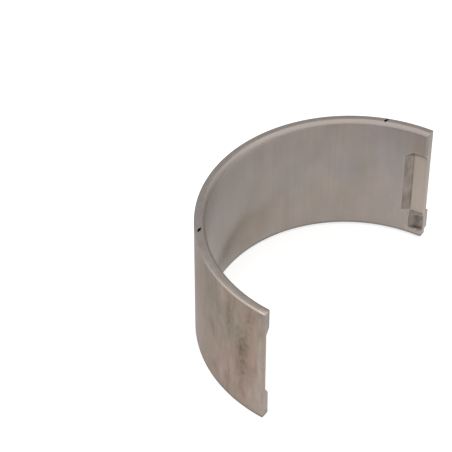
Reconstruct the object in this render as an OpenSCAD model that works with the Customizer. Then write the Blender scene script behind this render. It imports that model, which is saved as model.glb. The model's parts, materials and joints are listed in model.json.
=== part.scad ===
// One half shell of a plain engine bearing, in its free state before it is pressed into its housing.
// Millimetres. Z is the bearing axis, with the origin on it at mid width.
// The crown of the shell points to +Y, and its two joint faces look toward -Y.

/* [Shell] */
// Bore of the housing that a pair of shells is pressed into
housing_bore = 68.3; // [56:0.1:100]
// How much wider than that bore the loose shell stands across its back
free_spread = 1.28; // [0.4:0.02:2.4]
// Wall, lining and back together
wall = 2.38; // [2:0.02:3.6]
// Width along the bearing axis
shell_width = 31.2; // [26:0.1:50]

/* [Edges] */
// Chamfer of the lining along both edges, measured across the wall
lining_chamfer_across = 0.65; // [0.3:0.05:0.9]
// The same chamfer, measured along the axis
lining_chamfer_along = 0.6; // [0.2:0.05:0.8]
// Bevel of the back along both edges, measured across the wall
back_bevel_across = 0.5; // [0.3:0.05:1]
// The same bevel, measured along the axis
back_bevel_along = 0.08; // [0.05:0.01:0.4]
// Chamfer of the lining along both joint faces
joint_chamfer = 0.4; // [0.2:0.05:0.7]

/* [Oil pockets] */
// Depth below the lining at the joint face, on the lug's side
lug_side_pocket_depth = 1.1; // [0.8:0.02:1.4]
// The same depth on the plain side
plain_side_pocket_depth = 1.34; // [0.8:0.02:1.4]
// Length of a pocket's floor along the axis
pocket_length = 16.3; // [10:0.1:17]
// Reach of a pocket's floor from the joint face
pocket_reach = 3.4; // [2:0.1:6]
// How much closer to the axis the floor is where its ramp starts
pocket_rise = 0.3; // [0.1:0.05:0.6]
// Length of the ramp from the floor up to the lining
ramp_run = 1.8; // [1:0.1:2.5]
// How far each end of a pocket slopes out along the axis, for each millimetre of depth
end_slope = 1.65; // [1:0.05:2]
// Place of the pocket on the lug's side, from mid width
lug_side_pocket_z = -0.4; // [-1:0.1:1]
// Place of the pocket on the plain side, from mid width
plain_side_pocket_z = 0.7; // [-1:0.1:1]

/* [Locating lug] */
// Width of the lug along the axis
lug_width = 5.5; // [4:0.1:6]
// How far the lug stands out from the back at the joint face
lug_height = 1; // [0.6:0.05:1.4]
// Length of the lug around the back
lug_length = 4.4; // [3.6:0.1:6]
// Distance of the lug from the lower edge
lug_margin = 1.3; // [0.3:0.05:1.6]
// Depth of the punch mark inside the lug at the joint face
punch_depth = 1.1; // [0.6:0.05:1.3]
// Length of the punch mark from the joint face
punch_length = 3.5; // [2.4:0.1:3.6]
// Width of lug left on each side of the punch mark at the joint face
punch_side = 0.45; // [0.3:0.05:0.8]
// How much each side of the punch mark draws in toward its far end
punch_taper = 0.4; // [0:0.05:0.6]

/* [Edge notches] */
// Depth of the notches in the upper edge
notch_depth = 0.3; // [0.1:0.05:0.6]
// Width of the notches
notch_width = 0.6; // [0.2:0.05:0.8]
// Length of the notch near the lug's side, and of the other
notch_lengths = [1.2, 1.6]; // [0.6:0.1:2]
// How far each notch lies from the middle of the wall, toward the back
notch_offsets = [0.45, 0.12]; // [0:0.01:0.5]
// Place of each notch around the axis
notch_angles = [20, 129]; // [10:1:170]
// Turn of each notch away from straight across the wall
notch_turns = [-40, 62]; // [-70:1:70]

/* [Hidden] */
$fn = 180;
half_turn = 180;
back_r = (housing_bore + free_spread)/2;
bore_r = back_r - wall;
mid_r = back_r - wall/2;
arc = half_turn*housing_bore/(housing_bore + free_spread);
joint_angle = (half_turn - arc)/2;
half_width = shell_width/2;
lug_z = -half_width + lug_margin + lug_width/2;
lug_run_out_x = sqrt(back_r*back_r - lug_length*lug_length);
lug_lean = (back_r + lug_height - lug_run_out_x)/lug_length;
// How far a cutting shape runs past the surface that it cuts
clear = 2;

// Wall section with its chamfered and bevelled edges, in radius and height
module wall_section() {
    polygon([
        [bore_r, -half_width + lining_chamfer_along],
        [bore_r + lining_chamfer_across, -half_width],
        [back_r - back_bevel_across, -half_width],
        [back_r, -half_width + back_bevel_along],
        [back_r, half_width - back_bevel_along],
        [back_r - back_bevel_across, half_width],
        [bore_r + lining_chamfer_across, half_width],
        [bore_r, half_width - lining_chamfer_along]
    ]);
}

// The bent strip
module strip() {
    rotate([0, 0, joint_angle]) rotate_extrude(angle = arc) wall_section();
}

// A prism along the axis, centred at height z: x is measured outward along a joint face, y from that face
module along_axis(height, z) {
    translate([0, 0, z]) linear_extrude(height = height, center = true) children();
}

// Places shapes at the joint face on the lug's side
module at_lug_joint() {
    rotate([0, 0, joint_angle]) children();
}

// Places shapes at the joint face on the plain side
module at_plain_joint() {
    mirror([1, 0, 0]) rotate([0, 0, joint_angle]) children();
}

// Removes the lining's corner along a joint face
module joint_chamfer_cut() {
    along_axis(shell_width + clear, 0) polygon([
        [bore_r + joint_chamfer + clear, -clear],
        [bore_r - clear, -clear],
        [bore_r - clear, joint_chamfer + clear]
    ]);
}

// A pocket seen along the axis: a floor that leans out toward the joint face, and a ramp behind it.
// squeeze narrows it for a view along a slope.
module pocket_plan(depth, squeeze) {
    inner_x = bore_r/2;
    floor_x = bore_r + depth;
    floor_lean = pocket_rise/pocket_reach;
    crease_x = floor_x - pocket_rise;
    tip_y = pocket_reach + ramp_run;
    ramp_lean = ramp_run/(crease_x - sqrt(bore_r*bore_r - tip_y*tip_y));
    polygon([
        [squeeze*(floor_x + clear*floor_lean), -clear],
        [squeeze*crease_x, pocket_reach],
        [squeeze*inner_x, pocket_reach + ramp_lean*(crease_x - inner_x)],
        [squeeze*inner_x, -clear]
    ]);
}

// Oil pocket that opens onto a joint face, with ends that slope out along the axis
module pocket_cut(depth, z) {
    end_tilt = atan(1/end_slope);
    intersection() {
        along_axis(shell_width, z) pocket_plan(depth, 1);
        intersection_for(end = [-1, 1]) translate([0, 0, z + end*pocket_length/2]) rotate([0, -end*end_tilt, 0])
            linear_extrude(height = 2*back_r, center = true) pocket_plan(depth, cos(end_tilt));
    }
}

// Outside of the lug: highest at the joint face, running out to nothing around the back
module lug_block() {
    along_axis(lug_width, lug_z) polygon([
        [mid_r, 0],
        [back_r + lug_height, 0],
        [lug_run_out_x, lug_length],
        [mid_r, lug_length]
    ]);
}

// Punch mark inside the lug: a floor that follows the lug's outside, between sides that draw in
module punch_cut() {
    floor_r = bore_r + punch_depth;
    rim_r = bore_r - clear;
    half_joint = lug_width/2 - punch_side;
    half_front = half_joint + punch_taper*clear/punch_length;
    half_end = half_joint - punch_taper;
    intersection() {
        along_axis(lug_width, lug_z) polygon([
            [floor_r + clear*lug_lean, -clear],
            [floor_r - punch_length*lug_lean, punch_length],
            [rim_r, punch_length],
            [rim_r, -clear]
        ]);
        translate([rim_r, 0, lug_z]) rotate([90, 0, 90]) linear_extrude(height = wall + 2*clear) polygon([
            [-clear, -half_front],
            [punch_length, -half_end],
            [punch_length, half_end],
            [-clear, half_front]
        ]);
    }
}

// Small notch in the upper edge
module notch_cut(length, offset, angle, turn) {
    rotate([0, 0, angle]) translate([mid_r + offset, 0, half_width]) rotate([0, 0, turn])
        cube([length, notch_width, 2*notch_depth], center = true);
}

// The finished shell
module bearing_shell() {
    color([0.6, 0.57, 0.54]) difference() {
        union() {
            strip();
            at_lug_joint() lug_block();
        }
        at_lug_joint() joint_chamfer_cut();
        at_lug_joint() pocket_cut(lug_side_pocket_depth, lug_side_pocket_z);
        at_lug_joint() punch_cut();
        at_plain_joint() joint_chamfer_cut();
        at_plain_joint() pocket_cut(plain_side_pocket_depth, plain_side_pocket_z);
        for (i = [0:len(notch_angles) - 1])
            notch_cut(notch_lengths[i], notch_offsets[i], notch_angles[i], notch_turns[i]);
    }
}

bearing_shell();
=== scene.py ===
import json
import math

import bmesh
import bpy
import numpy as np
from mathutils import Matrix, Vector


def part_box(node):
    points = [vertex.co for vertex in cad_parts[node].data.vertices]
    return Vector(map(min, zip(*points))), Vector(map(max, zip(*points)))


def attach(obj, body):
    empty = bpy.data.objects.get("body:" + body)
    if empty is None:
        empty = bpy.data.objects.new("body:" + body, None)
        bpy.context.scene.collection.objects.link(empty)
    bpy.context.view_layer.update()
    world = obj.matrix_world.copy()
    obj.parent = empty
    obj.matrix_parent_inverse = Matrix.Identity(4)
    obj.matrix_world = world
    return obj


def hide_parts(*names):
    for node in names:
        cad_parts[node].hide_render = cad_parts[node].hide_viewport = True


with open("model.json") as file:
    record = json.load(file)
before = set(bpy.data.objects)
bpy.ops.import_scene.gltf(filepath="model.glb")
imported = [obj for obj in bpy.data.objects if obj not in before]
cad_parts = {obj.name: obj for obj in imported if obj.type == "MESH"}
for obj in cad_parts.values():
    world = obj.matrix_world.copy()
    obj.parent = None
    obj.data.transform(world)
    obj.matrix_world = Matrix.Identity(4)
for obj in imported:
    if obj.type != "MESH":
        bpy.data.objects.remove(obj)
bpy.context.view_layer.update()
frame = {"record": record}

# Bearing shell
# A half shell bent from one strip of steel, with a thin lining of bearing metal rolled onto its inside.
# Its edges are turned, its bore is broached along the axis, an oil pocket is milled at each joint and the
# locating lug is pushed out by a punch.
mm = 0.001
shell_low, shell_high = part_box("bearing_shell")
mounts = {mount["name"]: mount for mount in frame["record"]["mounts"]}
joint_outward = Vector(mounts["lug_joint_face"]["axis"])
joint_angle = math.atan2(joint_outward.x, -joint_outward.y)
half_width = shell_high.z
back_radius = shell_high.y
bore_radius = mounts["journal_seat"]["dims"]["r_mm"] * mm
mid_radius = (back_radius + bore_radius) / 2
arc_length = (math.pi - 2 * joint_angle) * back_radius

# Edges and joints, with the ease of each corner from the lining to the back
lining_chamfer_across = 0.65 * mm
lining_chamfer_along = 0.6 * mm
back_bevel_across = 0.5 * mm
back_bevel_along = 0.08 * mm
lining_ease = 0.06 * mm
chamfer_ease = 0.62 * mm
bevel_ease = 0.1 * mm
back_ease = 0.06 * mm
joint_chamfer = 0.4 * mm
joint_ease = 0.2 * mm

# Oil pockets
lug_side_pocket_depth = 1.1 * mm
plain_side_pocket_depth = 1.34 * mm
pocket_length = 16.3 * mm
pocket_reach = 3.4 * mm
pocket_rise = 0.3 * mm
ramp_run = 1.8 * mm
end_slope = 1.65
lug_side_pocket_z = -0.4 * mm
plain_side_pocket_z = 0.7 * mm

# Locating lug and the punch mark inside it
lug_width = 5.5 * mm
lug_height = shell_high.x / math.cos(joint_angle) - back_radius
lug_length = 4.4 * mm
lug_z = mounts["locating_lug"]["pos_m"][2]
lug_lean = (back_radius + lug_height - math.sqrt(back_radius**2 - lug_length**2)) / lug_length
punch_depth = 1.1 * mm
punch_length = 3.5 * mm
punch_side = 0.45 * mm
punch_taper = 0.4 * mm
wall_steepness = 6.0

# Surfaces that cross are eased over one crease, which lifts or lowers their corner by the crease's rise
crease = 0.14 * mm
crease_rise = crease / 4

# Notches in the upper edge: length, angle, turn, and offset from the middle of the wall toward the back
notch_depth = 0.3 * mm
notch_width = 0.6 * mm
notch_steepness = 2
notches = [(1.2 * mm, 20, -40, 0.45 * mm), (1.6 * mm, 129, 62, 0.12 * mm)]

# Grime and painted shade, from 0 on clean metal to 1, and how far it spreads from a line
# Painted shade: the notches are darkened to near black
notch_shade = 1.0
# Painted shade on the pocket's ramp, darker still along its crease with the floor
ramp_shade = 0.42
crease_shade = 0.45
crease_line = 0.15 * mm
# The punch mark has grime and painted shade, with a little more painted shade near its rim
punch_grime_and_shade = 0.57
punch_corner_shade = 0.05
# A thin darker line along the corner where the lining meets the chamfer
seam_darkening = 0.1
seam_line = 0.12 * mm
seam_height = 2 * seam_line
# The joint faces are darkened evenly
joint_darkening = 0.24
# Painted shadow: a dark line along the foot, where the shell stands on the floor
foot_shadow = 0.5
foot_line = 0.4 * mm

# Spacing of the mesh, which is finer at the joints, the pockets' ends, the lug and the notches
fine_step = 0.13 * mm
coarse_along_arc = 9
coarse_along_axis = 4
notch_step = 0.05 * mm
feature_zone = 6.4 * mm
notch_zone = 1.1 * mm
line_zone = 0.3 * mm
edge_run = lining_chamfer_along + 2 * lining_ease
corner_steps = 5
upper_leg_steps = 10
lower_leg_steps = 3
joint_round_steps = 5
closing_shares = (0.06, 0.5, 1.0)
merge_distance = 0.0005 * mm

# Sides of the wall in order around its section, and finishes in order of the material slots
bore_side, upper_edge, back_side, lower_edge = range(4)
lining_finish, back_finish, edge_finish, cut_finish, chamfer_finish = range(5)


def places(low, high, coarse, features, reach):
    """Places from low to high: all fine steps within reach of a feature, and one in so many elsewhere."""
    fine = np.linspace(low, high, round((high - low) / fine_step) + 1)
    index = np.arange(fine.size)
    gap = np.abs(fine[:, None] - np.asarray(features)[None, :]) - np.asarray(reach)[None, :]
    keep = (index % coarse == 0) | (gap.min(axis=1) < 0) | (index == fine.size - 1)
    return fine[keep]


def eased_path(corners, eases, ease_steps, leg_steps):
    """Path along straight legs with its inner corners rounded.

    A corner C becomes (1-s)^2 A + 2 s (1-s) C + s^2 B, where A and B lie on its two legs, its own ease
    away from C.
    """
    corners = np.asarray(corners)
    legs = np.diff(corners, axis=0)
    along = legs / np.linalg.norm(legs, axis=1)[:, None]
    ease = np.asarray(eases)[:, None]
    before = corners[1:-1] - ease * along[:-1]
    after = corners[1:-1] + ease * along[1:]
    s = np.linspace(0, 1, ease_steps)[:, None, None]
    rounds = (1 - s) ** 2 * before + 2 * s * (1 - s) * corners[1:-1] + s**2 * after
    t = np.linspace(0, 1, leg_steps + 1)[1:-1, None, None]
    straights = (1 - t) * after[:-1] + t * before[1:]
    parts = [rounds[:, 0]]
    for i in range(straights.shape[1]):
        parts += [straights[:, i], rounds[:, i + 1]]
    return np.concatenate(parts)


def near(value, middle, spread):
    """A bell that is one at the middle: e to minus the square of the distance over the spread."""
    return np.exp(-(((value - middle) / spread) ** 2))


def soft_max(a, b):
    """The greater of two heights, raised by a parabola where they are within one crease of each other."""
    closeness = np.maximum(crease - np.abs(a - b), 0) / crease
    return np.maximum(a, b) + closeness**2 * crease_rise


def soft_min(a, b):
    """The lesser of two heights, with the crease between them eased in the same way."""
    return -soft_max(-a, -b)


def pocket_floor(turn, z, depth, centre):
    """Radius of an oil pocket at an angle from the joint.

    Its floor and its ramp are straight lines x + lean * y = reach in the plane across the axis, and past the
    floor's ends both move in toward the axis by the distance past the end over the end slope.
    """
    floor_x = bore_radius + depth
    crease_x = floor_x - pocket_rise
    tip_x = math.sqrt(bore_radius**2 - (pocket_reach + ramp_run) ** 2)
    ramp_lean = (crease_x - tip_x) / ramp_run
    drop = soft_max(np.abs(z - centre) - pocket_length / 2, 0) / end_slope
    floor = (floor_x - drop) / (np.cos(turn) + pocket_rise / pocket_reach * np.sin(turn))
    ramp = (crease_x + ramp_lean * pocket_reach - drop) / (np.cos(turn) + ramp_lean * np.sin(turn))
    return soft_min(floor, ramp)


def punch_floor(turn, z):
    """Radius of the punch mark: a floor that leans with the lug, between steep walls that draw in."""
    from_joint = back_radius * turn
    half = lug_width / 2 - punch_side - punch_taper * from_joint / punch_length
    floor = (bore_radius + punch_depth) / (np.cos(turn) + lug_lean * np.sin(turn))
    side = bore_radius + (half - np.abs(z - lug_z)) * wall_steepness
    end = bore_radius + (punch_length - from_joint) * wall_steepness
    return soft_min(soft_min(floor, side), end)


def lug_outside(turn, z):
    """Radius of the lug's outside: a straight lean from the joint down to the back, between steep sides."""
    top = (back_radius + lug_height) / (np.cos(turn) + lug_lean * np.sin(turn))
    side = back_radius + (lug_width / 2 - np.abs(z - lug_z)) * wall_steepness
    return soft_min(top, side)


def notch_dent(theta, radius):
    """Depth of the notches in the upper edge.

    Each is an oval pit laid across the wall at its own turn. With d the distance from its middle over the
    oval's own half size, the share of the full depth is the steepness times 1 - d, held between 0 and 1.
    """
    dent = np.zeros_like(radius)
    for length, degrees, turn, offset in notches:
        x = radius * np.cos(theta - math.radians(degrees)) - mid_radius - offset
        y = radius * np.sin(theta - math.radians(degrees))
        cos_turn, sin_turn = math.cos(math.radians(turn)), math.sin(math.radians(turn))
        along = (x * cos_turn + y * sin_turn) / (length / 2)
        across = (y * cos_turn - x * sin_turn) / (notch_width / 2)
        inside = np.clip(notch_steepness * (1 - np.hypot(along, across)), 0, 1)
        dent = np.maximum(dent, notch_depth * inside)
    return dent


def along_the_arc():
    """Places along the arc, fine at the joints and finest at the notches.

    Both ends have a quarter round, whose places are the joint ease times 1 - cos of its own angle.
    """
    along = places(0, arc_length, coarse_along_arc, [0, arc_length], [feature_zone, feature_zone])
    along = along[(along > joint_ease) & (along < arc_length - joint_ease)]
    for _, degrees, _, _ in notches:
        middle = (math.radians(degrees) - joint_angle) * back_radius
        finest = np.arange(middle - notch_zone, middle + notch_zone, notch_step)
        along = np.sort(np.concatenate([along[np.abs(along - middle) > notch_zone], finest]))
    quarter = np.linspace(0, math.pi / 2, joint_round_steps + 1)[:-1]
    rounded = joint_ease * (1 - np.cos(quarter))
    return np.concatenate([rounded, along, arc_length - rounded[::-1]])


def wall_section():
    """Radius, height, side and finish of each line around the wall.

    The lines run up the bore, across the upper edge, down the back and across the lower edge. Both edges
    follow the same eased path, with fewer lines on the lower one.
    """
    inset_z = half_width - edge_run
    punch_half = lug_width / 2 - punch_side
    heights = [lug_z + end * half for end in (-1, 1)
               for half in (punch_half - punch_taper, punch_half, lug_width / 2)]
    reaches = [line_zone] * len(heights)
    pockets = [(lug_side_pocket_depth, lug_side_pocket_z), (plain_side_pocket_depth, plain_side_pocket_z)]
    for depth, centre in pockets:
        slope_half = depth * end_slope / 2
        heights += [centre + end * (pocket_length / 2 + slope_half) for end in (-1, 1)]
        reaches += [slope_half + line_zone] * 2
    z_lines = places(-inset_z, inset_z, coarse_along_axis, heights, reaches)
    corners = [(bore_radius, inset_z),
               (bore_radius, half_width - lining_chamfer_along),
               (bore_radius + lining_chamfer_across, half_width),
               (back_radius - back_bevel_across, half_width),
               (back_radius, half_width - back_bevel_along),
               (back_radius, inset_z)]
    eases = [lining_ease, chamfer_ease, bevel_ease, back_ease]
    upper = eased_path(corners, eases, corner_steps, upper_leg_steps)
    lower = eased_path(corners, eases, corner_steps, lower_leg_steps)[::-1] * (1, -1)
    counts = [z_lines.size, len(upper), z_lines.size, len(lower)]
    bore_r = np.full(z_lines.size, bore_radius)
    back_r = np.full(z_lines.size, back_radius)
    section_r = np.concatenate([bore_r, upper[:, 0], back_r, lower[:, 0]])
    section_z = np.concatenate([z_lines, upper[:, 1], z_lines[::-1], lower[:, 1]])
    side = np.repeat([bore_side, upper_edge, back_side, lower_edge], counts)
    on_lining = section_r < bore_radius + merge_distance
    on_back = section_r > back_radius - merge_distance
    on_chamfer = section_r < bore_radius + lining_chamfer_across + chamfer_ease
    line_finish = np.select([on_lining, on_back, on_chamfer],
                            [lining_finish, back_finish, chamfer_finish], edge_finish)
    return section_r, section_z, side, line_finish


def across_the_wall(side):
    """For each line around the wall, the bore line and the back line that it closes between at a joint."""
    bore_line = np.flatnonzero(side == bore_side)
    back_line = np.flatnonzero(side == back_side)[::-1]
    top = np.full(np.count_nonzero(side == upper_edge), bore_line[-1])
    bottom = np.full(np.count_nonzero(side == lower_edge), bore_line[0])
    nearest = np.concatenate([bore_line, top, bore_line[::-1], bottom])
    return nearest, back_line[nearest]


def closed_at_joints(radius, height, side):
    """Radius and height with rings added at both joints, which shrink the outline onto the wall's middle."""
    bore_line, back_line = across_the_wall(side)
    own_line = np.where(side == back_side, back_line, bore_line)
    share = np.array(closing_shares)[:, None]
    closings = []
    for end in (0, -1):
        middle_r = (radius[end, bore_line] + radius[end, back_line]) / 2
        middle_z = height[end, own_line]
        closings.append((radius[end] + (middle_r - radius[end]) * share,
                         height[end] + (middle_z - height[end]) * share))
    (start_r, start_z), (stop_r, stop_z) = closings
    closed_r = np.concatenate([start_r[::-1], radius, stop_r])
    closed_z = np.concatenate([start_z[::-1], height, stop_z])
    return closed_r, closed_z


def soiled_and_shaded(side, z, radius, dent, in_pocket, in_punch, past_reach):
    """Grime and painted shade at each point, as a bell around each line that gathers it and an even film
    inside each cut.

    Painted shade darkens the ramps, their creases, the notches, the punch mark's rim and the foot, the
    punch mark has grime and painted shade, the lining's upper and lower seam is darkened, and where two meet
    the stronger one holds.
    """
    above_end = z > lug_side_pocket_z - pocket_length / 2
    ramp = ramp_shade * (past_reach > 0) + crease_shade * near(past_reach, 0, crease_line)
    punch = punch_grime_and_shade + punch_corner_shade * near(radius, bore_radius, punch_depth / 2)
    soil_and_shade = np.where(in_punch, punch, ramp * (in_pocket & above_end))
    seam = near(radius, bore_radius, seam_line)
    seam = seam * near(np.abs(z), half_width - lining_chamfer_along, seam_height)
    soil_and_shade = np.maximum(soil_and_shade, seam_darkening * seam * ((side == upper_edge) | (side == lower_edge)))
    soil_and_shade = np.maximum(soil_and_shade, notch_shade * (dent > 0))
    foot = np.where(side == bore_side, lining_chamfer_along, back_bevel_along) - half_width
    return np.maximum(soil_and_shade, foot_shadow * near(z, foot, foot_line))


def shell_surface():
    """Closed surface over two parameters: the place along the arc and the place around the wall's section.

    A point's radius is the section's own, plus the depth of the pockets on the bore side and the height of
    the lug on the back, and a quarter round eases the outline in at the joints. Each joint face is closed by
    rings that shrink the outline onto the middle line of the wall. The finish of each line around the wall,
    and the grime and painted shade and the bare metal at each point, are returned with the points.
    """
    along = along_the_arc()
    section_r, section_z, side, line_finish = wall_section()
    theta = (joint_angle + along / back_radius)[:, None]
    z = section_z[None, :]
    from_lug = np.clip(theta - joint_angle, 0, feature_zone / mid_radius)
    from_plain = np.clip(math.pi - joint_angle - theta, 0, feature_zone / mid_radius)
    from_joint = np.minimum(from_lug, from_plain)

    struck = punch_floor(from_lug, z)
    milled = np.maximum(pocket_floor(from_lug, z, lug_side_pocket_depth, lug_side_pocket_z),
                        pocket_floor(from_plain, z, plain_side_pocket_depth, plain_side_pocket_z))
    trimmed = (bore_radius + joint_chamfer) / (np.cos(from_joint) + np.sin(from_joint))
    base = np.broadcast_to(section_r, (theta.size, section_r.size))
    bore = soft_max(soft_max(soft_max(base, milled), struck), trimmed)
    back = soft_max(base, lug_outside(from_lug, z))
    edge = soft_max(base, trimmed)
    radius = np.where(side == bore_side, bore, np.where(side == back_side, back, edge))
    dent = np.where(side == upper_edge, notch_dent(theta, radius), 0)
    height = z - dent

    in_pocket = (side == bore_side) & (milled > bore_radius + crease_rise)
    in_punch = (side == bore_side) & (struck > bore_radius + crease_rise)
    past_reach = from_joint * mid_radius - pocket_reach
    soil_and_shade = soiled_and_shaded(side, z, radius, dent, in_pocket, in_punch, past_reach)
    bare = (in_pocket | in_punch).astype(float)

    from_end = np.minimum(along, arc_length - along)[:, None]
    inset = joint_ease - np.sqrt(np.maximum(joint_ease**2 - np.maximum(joint_ease - from_end, 0) ** 2, 0))
    radius = radius + np.where(side == bore_side, inset, np.where(side == back_side, -inset, 0))
    height = height - np.where(side == upper_edge, inset, np.where(side == lower_edge, -inset, 0))
    on_wall = (side == bore_side) | (side == back_side)
    radius = np.where(on_wall, radius, np.minimum(radius, back_radius - inset))

    r, z = closed_at_joints(radius, height, side)
    wrap = (len(closing_shares), len(closing_shares))
    t = np.pad(theta[:, 0], wrap, mode="edge")[:, None]
    soil_and_shade = np.pad(soil_and_shade, (wrap, (0, 0)), constant_values=joint_darkening)
    bare = np.pad(bare, (wrap, (0, 0)), constant_values=1.0)
    return np.stack([r * np.cos(t), r * np.sin(t), z], axis=-1), line_finish, soil_and_shade, bare


points, line_finish, soil_and_shade, bare = shell_surface()
rings, around = points.shape[:2]
index = np.arange(rings * around).reshape(rings, around)
beside = np.roll(index, -1, axis=1)
quads = np.stack([index[:-1], index[1:], beside[1:], beside[:-1]], axis=-1).reshape(-1, 4)
shell_mesh = bpy.data.meshes.new("bearing_shell_body")
shell_mesh.from_pydata(points.reshape(-1, 3).tolist(), [], quads.tolist())

# Broad marks on each finish, some of them painted shade and some painted highlights: angle of the middle in
# degrees, its height, width and length in millimetres, how dark it is, below zero where it is lighter, and
# how warm its tint is, below zero where it is cool
broad_marks_and_painted_light = {
    lining_finish: [
        (12, 0.0, 7.0, 16.0, -0.13, -0.1),
        (45, 12.0, 16.0, 6.0, 0.0, -0.2),
        (55, -8.0, 28.0, 8.0, 0.0, 0.25),
        (112, 3.0, 10.0, 12.0, 0.0, 0.3),
        (106, 14.0, 10.0, 7.0, -0.5, 0.0),
        (104, 15.0, 14.0, 2.2, -0.24, 0.0),
        # Painted highlight on the top of the lining over the crown, together with the chamfer's
        (80, 15.0, 13.0, 0.5, -0.3, 0.0),
        (115, -13.5, 6.0, 3.5, -0.3, 0.2),
        (95, -10.5, 4.5, 4.0, 0.5, 0.1),
        (82, -9.0, 8.0, 5.5, 0.28, 0.3),
        (103, -3.2, 6.5, 5.5, 0.3, 0.3),
        (5.8, 11.4, 3.0, 2.0, 0.1, 0.1),
        # Painted highlight: lightens the lining just below the punch mark, where its lower lip catches the
        # light
        (4, -13.6, 3.0, 0.8, -0.3, 0.0),
    ],
    back_finish: [
        # Painted shade: darkens the back around 131 degrees, in place of a darker reflection, with a warm
        # tint
        (131, 5.5, 5.0, 8.0, 0.4, 0.4),
        (136, 0.0, 3.0, 14.0, 0.0, 0.3),
        (140, -7.0, 6.0, 8.0, -0.15, 0.4),
        (150, 9.8, 2.2, 4.0, 0.2, -0.2),
        (157, 7.0, 6.0, 6.0, -0.05, -0.5),
        (158.7, 12.0, 0.6, 3.0, -0.4, 0.0),
        (158, -10.7, 0.8, 2.4, -0.35, 0.0),
        (160, -7.0, 7.0, 6.0, -0.05, 0.35),
        (173, 2.0, 1.0, 6.0, 0.0, 0.6),
        (174, -11.5, 3.0, 4.0, -0.2, 0.3),
        (176.9, 0.0, 0.7, 12.0, -0.3, 0.0),
    ],
    edge_finish: [
        # Painted highlight: lightens the edge along the near rim, with a warm tint
        (168, 15.5, 14.0, 2.0, -0.25, 0.4),
        # Painted highlight: a bright spot on the edge at the corner by the plain joint
        (177.5, 15.5, 1.2, 1.0, -0.4, 0.0),
    ],
    chamfer_finish: [
        # Painted highlight: lightens the chamfer over the crown
        (78, 15.0, 13.0, 0.5, -0.5, 0.0),
        # Painted shade: darkens the chamfer on the left side of the shell
        (116, 15.2, 9.0, 0.8, 0.2, 0.0),
        # Painted highlight: lightens the chamfer along the near rim, with a warm tint
        (168, 15.5, 14.0, 2.0, -0.25, 0.4),
    ],
}
# Small ragged marks of dirt, given in the same way
dirt_marks = {
    back_finish: [
        (151, 0.2, 1.0, 1.8, 0.45, 0.0),
        (152.6, -10.9, 0.8, 1.0, 0.5, 0.0),
        (161, -10.4, 0.7, 3.4, 0.4, 0.0),
        (162, 9.0, 1.1, 5.0, 0.5, 0.0),
        (168.9, 1.5, 1.6, 5.0, 0.65, 0.2),
        (168.7, -5.5, 1.4, 4.0, 0.4, 0.1),
        (169.5, -11.5, 1.0, 2.0, 0.3, 0.6),
        (172, 11.5, 1.2, 3.0, 0.35, 0.3),
    ],
}
# Painted shade and light: the lining and the back darken a little toward the top and lighten toward the
# bottom, and a darker band curves down across the lining
lining_shade = 0.18
back_shade = 0.12
dark_band_strength = 0.36
dark_band_start = math.radians(82)
dark_band_top = -5.0 * mm
dark_band_fall = 18 * mm
dark_band_width = 2.4 * mm
dark_band_middle = math.radians(90)
dark_band_half = math.radians(15)
plain_warmth = 0.4
angle = np.arctan2(points[..., 1], points[..., 0])
height = points[..., 2]
shade = height / half_width
dark_band_z = dark_band_top - np.maximum(angle - dark_band_start, 0) * dark_band_fall
dark_band = near(height, dark_band_z, dark_band_width) * near(angle, dark_band_middle, dark_band_half)
lining_shade_and_dark_band = lining_shade * shade + dark_band_strength * dark_band
back_painted_shade = back_shade * shade
stain_and_painted_light = np.select([line_finish == lining_finish, line_finish == back_finish], [lining_shade_and_dark_band, back_painted_shade], 0)
dirt = np.zeros_like(stain_and_painted_light)
warmth = np.full_like(stain_and_painted_light, plain_warmth)
for marks, darkness in ((broad_marks_and_painted_light, stain_and_painted_light), (dirt_marks, dirt)):
    for marked_finish, finish_marks in marks.items():
        for degrees, middle_z, mark_width, mark_length, dark, warm in finish_marks:
            across = (angle - math.radians(degrees)) * mid_radius
            bell = near(across, 0, mark_width * mm) * near(height, middle_z * mm, mark_length * mm)
            bell = bell * (line_finish == marked_finish)
            darkness += dark * bell
            warmth += warm * bell
for name, values in (("grime_and_shade", soil_and_shade), ("stain_and_painted_light", stain_and_painted_light), ("dirt", dirt), ("warmth", warmth)):
    shell_mesh.attributes.new(name, "FLOAT", "POINT").data.foreach_set("value", values.ravel())

strip_finish = np.where(np.roll(line_finish, -1) == line_finish, line_finish, edge_finish)
mostly_bare = bare.ravel()[quads].mean(axis=1) > 0.5
face_finish = np.where(mostly_bare, cut_finish, np.tile(strip_finish, rings - 1))
shell_mesh.polygons.foreach_set("material_index", face_finish.astype(np.int32))
work = bmesh.new()
work.from_mesh(shell_mesh)
bmesh.ops.remove_doubles(work, verts=work.verts, dist=merge_distance)
bmesh.ops.recalc_face_normals(work, faces=work.faces)
work.to_mesh(shell_mesh)
work.free()
shell_mesh.shade_smooth()
shell = bpy.data.objects.new("bearing_shell_body", shell_mesh)
bpy.context.scene.collection.objects.link(shell)


def tone(red, green, blue):
    """Linear colour of a display colour given in 0 to 255, by the usual display curve."""
    share = np.array([red, green, blue]) / 255
    linear = np.where(share <= 0.04045, share / 12.92, ((share + 0.055) / 1.055) ** 2.4)
    return (*linear.tolist(), 1.0)


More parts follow.
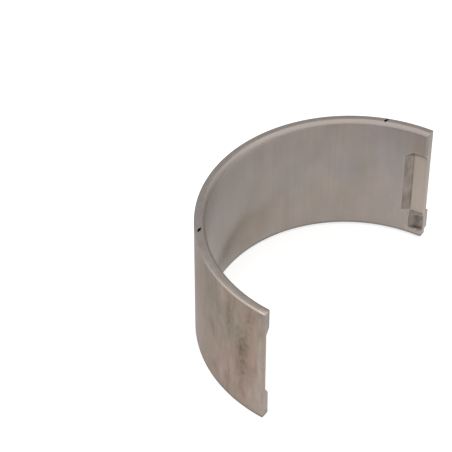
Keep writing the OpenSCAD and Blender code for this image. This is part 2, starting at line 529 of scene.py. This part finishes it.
class Finish:
    """A metal material under construction: its node tree, its shader and the shell's own coordinates."""

    def __init__(self, name):
        self.material = bpy.data.materials.new(name)
        self.material.use_nodes = True
        self.tree = self.material.node_tree
        self.shader = self.tree.nodes["Principled BSDF"]
        self.shader.inputs["Metallic"].default_value = 1.0
        self.place = self.tree.nodes.new("ShaderNodeTexCoord").outputs["Object"]

    def feed(self, socket, value):
        """Puts a constant on a socket, or links a node's output to it."""
        if isinstance(value, bpy.types.NodeSocket):
            self.tree.links.new(value, socket)
        else:
            socket.default_value = value

    def noise(self, place, grains, detail):
        """Noise over a place, with so many grains per metre in each direction."""
        mapping = self.tree.nodes.new("ShaderNodeMapping")
        mapping.inputs["Scale"].default_value = grains
        texture = self.tree.nodes.new("ShaderNodeTexNoise")
        texture.inputs["Scale"].default_value = 1.0
        texture.inputs["Detail"].default_value = detail
        self.feed(mapping.inputs["Vector"], place)
        self.feed(texture.inputs["Vector"], mapping.outputs["Vector"])
        return texture.outputs["Fac"]

    def axial_lines(self, grain, drawn_out):
        """Lines along the axis: noise with fine grain around it and long grain along it."""
        return self.noise(self.place, (grain, grain, grain / drawn_out), detail=3.0)

    def turned_lines(self, grain, drawn_out):
        """Lines around the axis: noise over radius and height, which changes slowly from side to side."""
        flat = self.tree.nodes.new("ShaderNodeVectorMath")
        flat.operation = "MULTIPLY"
        flat.inputs[1].default_value = (1, 1, 0)
        self.feed(flat.inputs[0], self.place)
        length = self.tree.nodes.new("ShaderNodeVectorMath")
        length.operation = "LENGTH"
        self.feed(length.inputs[0], flat.outputs["Vector"])
        parts = self.tree.nodes.new("ShaderNodeSeparateXYZ")
        self.feed(parts.inputs["Vector"], self.place)
        joined = self.tree.nodes.new("ShaderNodeCombineXYZ")
        self.feed(joined.inputs["X"], length.outputs["Value"])
        self.feed(joined.inputs["Y"], parts.outputs["Z"])
        self.feed(joined.inputs["Z"], parts.outputs["X"])
        return self.noise(joined.outputs["Vector"], (grain, grain, grain / drawn_out), detail=2.0)

    def attribute(self, name):
        """A value that the mesh carries at each point."""
        node = self.tree.nodes.new("ShaderNodeAttribute")
        node.attribute_name = name
        return node.outputs["Fac"]

    def shaded(self, value, low, high, at_low, at_high):
        """A value carried from one range to another, and held at its ends."""
        node = self.tree.nodes.new("ShaderNodeMapRange")
        for socket, number in zip(("From Min", "From Max", "To Min", "To Max"), (low, high, at_low, at_high)):
            node.inputs[socket].default_value = number
        self.feed(node.inputs["Value"], value)
        return node.outputs["Result"]

    def combined(self, operation, first, second):
        """Two amounts added or multiplied."""
        node = self.tree.nodes.new("ShaderNodeMath")
        node.operation = operation
        self.feed(node.inputs[0], first)
        self.feed(node.inputs[1], second)
        return node.outputs["Value"]

    def mixed(self, amount, first, second, blend="MIX"):
        """Two colours mixed by an amount."""
        node = self.tree.nodes.new("ShaderNodeMix")
        node.data_type = "RGBA"
        node.blend_type = blend
        sockets = {socket.identifier: socket for socket in (*node.inputs, *node.outputs)}
        self.feed(sockets["Factor_Float"], amount)
        self.feed(sockets["A_Color"], first)
        self.feed(sockets["B_Color"], second)
        return sockets["Result_Color"]

    def scaled(self, colour, amount):
        """A colour made darker or lighter by an amount around one."""
        return self.mixed(1.0, colour, amount, "MULTIPLY")

    def bumped(self, height, distance):
        """Fine relief from a height."""
        node = self.tree.nodes.new("ShaderNodeBump")
        node.inputs["Distance"].default_value = distance
        self.feed(node.inputs["Height"], height)
        self.tree.links.new(node.outputs["Normal"], self.shader.inputs["Normal"])


# Colours of stains and painted shade, of rubbed spots and painted highlights, and of grime and painted shade,
# the ranges that noise is read over, and how far it then shifts each layer
stain_and_shade_dark = tone(92, 76, 60)
rubbed_and_highlight = tone(190, 178, 168)
grime_and_shade_dark = tone(26, 21, 18)
whole_range = (0.3, 0.7)
middle_range = (0.35, 0.65)
patch_grains = (140, 140, 80)
patch_tint = 0.25
ragged_grains = (1300, 1300, 800)
dirt_shift = (0.4, 1.3)
stain_and_light_shift = (0.75, 1.05)
grime_and_shade_shift = (0.7, 1.3)
roughness_shift = 0.04


def worn_metal(name, cool, warm, lines, line_depth, mottle_grain, mottle_depth, roughness, relief, slant=1.0):
    """A satin metal with patches of a cool and a warm tint, lines, mottling, and what the mesh has on it.

    Stains and painted shade darken it, rubbed spots and painted highlights lighten it, and grime and painted
    shade cover it. A slant below one dims it where it is seen nearly edge on.
    """
    finish = Finish(name)
    mottle = finish.noise(finish.place, (mottle_grain, mottle_grain, mottle_grain / 2), detail=4.0)
    patches = finish.noise(finish.place, patch_grains, detail=2.0)
    ragged = finish.noise(finish.place, ragged_grains, detail=3.0)
    fine = lines(finish)
    tint = finish.shaded(patches, *middle_range, -patch_tint, patch_tint)
    colour = finish.mixed(finish.combined("ADD", finish.attribute("warmth"), tint), cool, warm)
    colour = finish.scaled(colour, finish.shaded(fine, *whole_range, 1 - line_depth, 1 + line_depth))
    colour = finish.scaled(colour, finish.shaded(mottle, *whole_range, 1 - mottle_depth, 1 + mottle_depth))
    ragged_dirt = finish.shaded(ragged, *middle_range, *dirt_shift)
    dirt = finish.combined("MULTIPLY", finish.attribute("dirt"), ragged_dirt)
    ragged_stain_and_light = finish.shaded(ragged, *whole_range, *stain_and_light_shift)
    stain_and_painted_light = finish.combined("MULTIPLY", finish.attribute("stain_and_painted_light"), ragged_stain_and_light)
    stain_and_painted_light = finish.combined("ADD", stain_and_painted_light, dirt)
    # Positive stain darkens, as stains and painted shade; negative stain lightens, as rubbed spots and
    # painted highlights
    colour = finish.mixed(finish.shaded(stain_and_painted_light, 0, 1, 0, 1), colour, stain_and_shade_dark)
    colour = finish.mixed(finish.shaded(stain_and_painted_light, 0, -1, 0, 1), colour, rubbed_and_highlight)
    # Grime and painted shade darken the colour toward near black
    mottled_grime_and_shade = finish.shaded(mottle, *middle_range, *grime_and_shade_shift)
    grime_and_shade = finish.combined("MULTIPLY", finish.attribute("grime_and_shade"), mottled_grime_and_shade)
    colour = finish.mixed(finish.shaded(grime_and_shade, 0, 1, 0, 1), colour, grime_and_shade_dark)
    finish.feed(finish.shader.inputs["Base Color"], colour)
    rough = finish.shaded(mottle, *whole_range, roughness - roughness_shift, roughness + roughness_shift)
    finish.feed(finish.shader.inputs["Roughness"], rough)
    finish.shader.inputs["Specular Tint"].default_value = (slant, slant, slant, 1)
    finish.bumped(fine, relief)
    return finish.material


def broached(finish):
    """Long fine lines that the broach leaves along the bore."""
    return finish.axial_lines(grain=2400, drawn_out=80)


def rolled(finish):
    """Short streaks along the axis on the rolled steel."""
    return finish.axial_lines(grain=1500, drawn_out=10)


def turned(finish):
    """Fine lines around the axis that the turning tool leaves."""
    return finish.turned_lines(grain=6000, drawn_out=40)


def milled_along(finish):
    """Lines along the axis that the milling cutter and the punch leave."""
    return finish.axial_lines(grain=1800, drawn_out=30)


# One finish for each material slot: lining, back, edge, cut and chamfer
shell_finishes = [
    worn_metal("broached_lining", tone(139, 132, 130), tone(143, 133, 123), broached, line_depth=0.035,
               mottle_grain=230, mottle_depth=0.09, roughness=0.36, relief=0.001 * mm),
    worn_metal("rolled_back", tone(139, 130, 118), tone(151, 131, 121), rolled, line_depth=0.07,
               mottle_grain=650, mottle_depth=0.13, roughness=0.38, relief=0.002 * mm, slant=0.63),
    worn_metal("turned_edge", tone(145, 138, 135), tone(148, 138, 130), turned, line_depth=0.05,
               mottle_grain=500, mottle_depth=0.03, roughness=0.25, relief=0.012 * mm),
    worn_metal("bare_cut", tone(158, 147, 138), tone(162, 150, 142), milled_along, line_depth=0.06,
               mottle_grain=600, mottle_depth=0.03, roughness=0.4, relief=0.003 * mm),
    worn_metal("turned_chamfer", tone(145, 138, 135), tone(148, 138, 130), turned, line_depth=0.05,
               mottle_grain=500, mottle_depth=0.03, roughness=0.45, relief=0.012 * mm),
]
for metal in shell_finishes:
    shell_mesh.materials.append(metal)
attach(shell, "root")
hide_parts("bearing_shell")

# Floor
# A wide sheet of pale card that the shell stands on, much larger than the view.
# It is lit a little from below, so that it stays white around the shell.
floor_half = 1.5
card_shade = 0.5
card_roughness = 0.9
card_glow = 0.66
floor_corners = [(-floor_half, -floor_half),
                 (floor_half, -floor_half),
                 (floor_half, floor_half),
                 (-floor_half, floor_half)]
floor_mesh = bpy.data.meshes.new("floor")
floor_mesh.from_pydata([(x, y, shell_low.z) for x, y in floor_corners], [], [(0, 1, 2, 3)])
floor = bpy.data.objects.new("floor", floor_mesh)
bpy.context.scene.collection.objects.link(floor)
pale_card = bpy.data.materials.new("pale_card")
pale_card.use_nodes = True
card_shader = pale_card.node_tree.nodes["Principled BSDF"]
card_shader.inputs["Base Color"].default_value = (card_shade, card_shade, card_shade, 1)
card_shader.inputs["Roughness"].default_value = card_roughness
card_shader.inputs["Emission Color"].default_value = (1, 1, 1, 1)
card_shader.inputs["Emission Strength"].default_value = card_glow
floor_mesh.materials.append(pale_card)

# Studio light
# An even white room with one wide soft box overhead, turned with the view.
# The box reaches from above the camera to past the shell.
room_light = 0.8
soft_box_power = 5.0
soft_box_width = 1.2
soft_box_length = 1.27
soft_box_place = (-0.029, -0.0195, 0.8)
soft_box_turn = math.radians(-56.14)
room = bpy.data.worlds.new("studio_room")
bpy.context.scene.world = room
room.use_nodes = True
room.node_tree.nodes["Background"].inputs["Color"].default_value = (1, 1, 1, 1)
room.node_tree.nodes["Background"].inputs["Strength"].default_value = room_light
bpy.context.scene.view_settings.view_transform = "Standard"
soft_box = bpy.data.lights.new("soft_box", "AREA")
soft_box.shape = "RECTANGLE"
soft_box.energy = soft_box_power
soft_box.size = soft_box_width
soft_box.size_y = soft_box_length
soft_box_object = bpy.data.objects.new("soft_box", soft_box)
soft_box_object.location = soft_box_place
soft_box_object.rotation_euler = (0, 0, soft_box_turn)
bpy.context.scene.collection.objects.link(soft_box_object)

# Camera
# Stands above and to the left of the shell's plain joint, and looks down through a long lens with no roll.
# Its place is given by the way to it from the middle of the foot, and by two shifts across the view.
azimuth = math.radians(-56.1386)
elevation = math.radians(42.9295)
view_distance = 423.69 * mm
view_shift_right = -27.93 * mm
view_shift_up = 21.52 * mm
sensor_width = 36.0
focal_length = 151.06
back_to_camera = Vector((math.sin(azimuth) * math.cos(elevation),
                         -math.cos(azimuth) * math.cos(elevation),
                         math.sin(elevation)))
to_the_right = Vector((math.cos(azimuth), math.sin(azimuth), 0))
upward = back_to_camera.cross(to_the_right)
foot_middle = Vector((0, 0, shell_low.z))
eye = back_to_camera * view_distance + to_the_right * view_shift_right + upward * view_shift_up + foot_middle
camera_data = bpy.data.cameras.new("camera")
camera_data.sensor_width = sensor_width
camera_data.lens = focal_length
camera = bpy.data.objects.new("camera", camera_data)
camera.matrix_world = Matrix((to_the_right, upward, back_to_camera)).transposed().to_4x4()
camera.location = eye
bpy.context.scene.collection.objects.link(camera)
bpy.context.scene.camera = camera
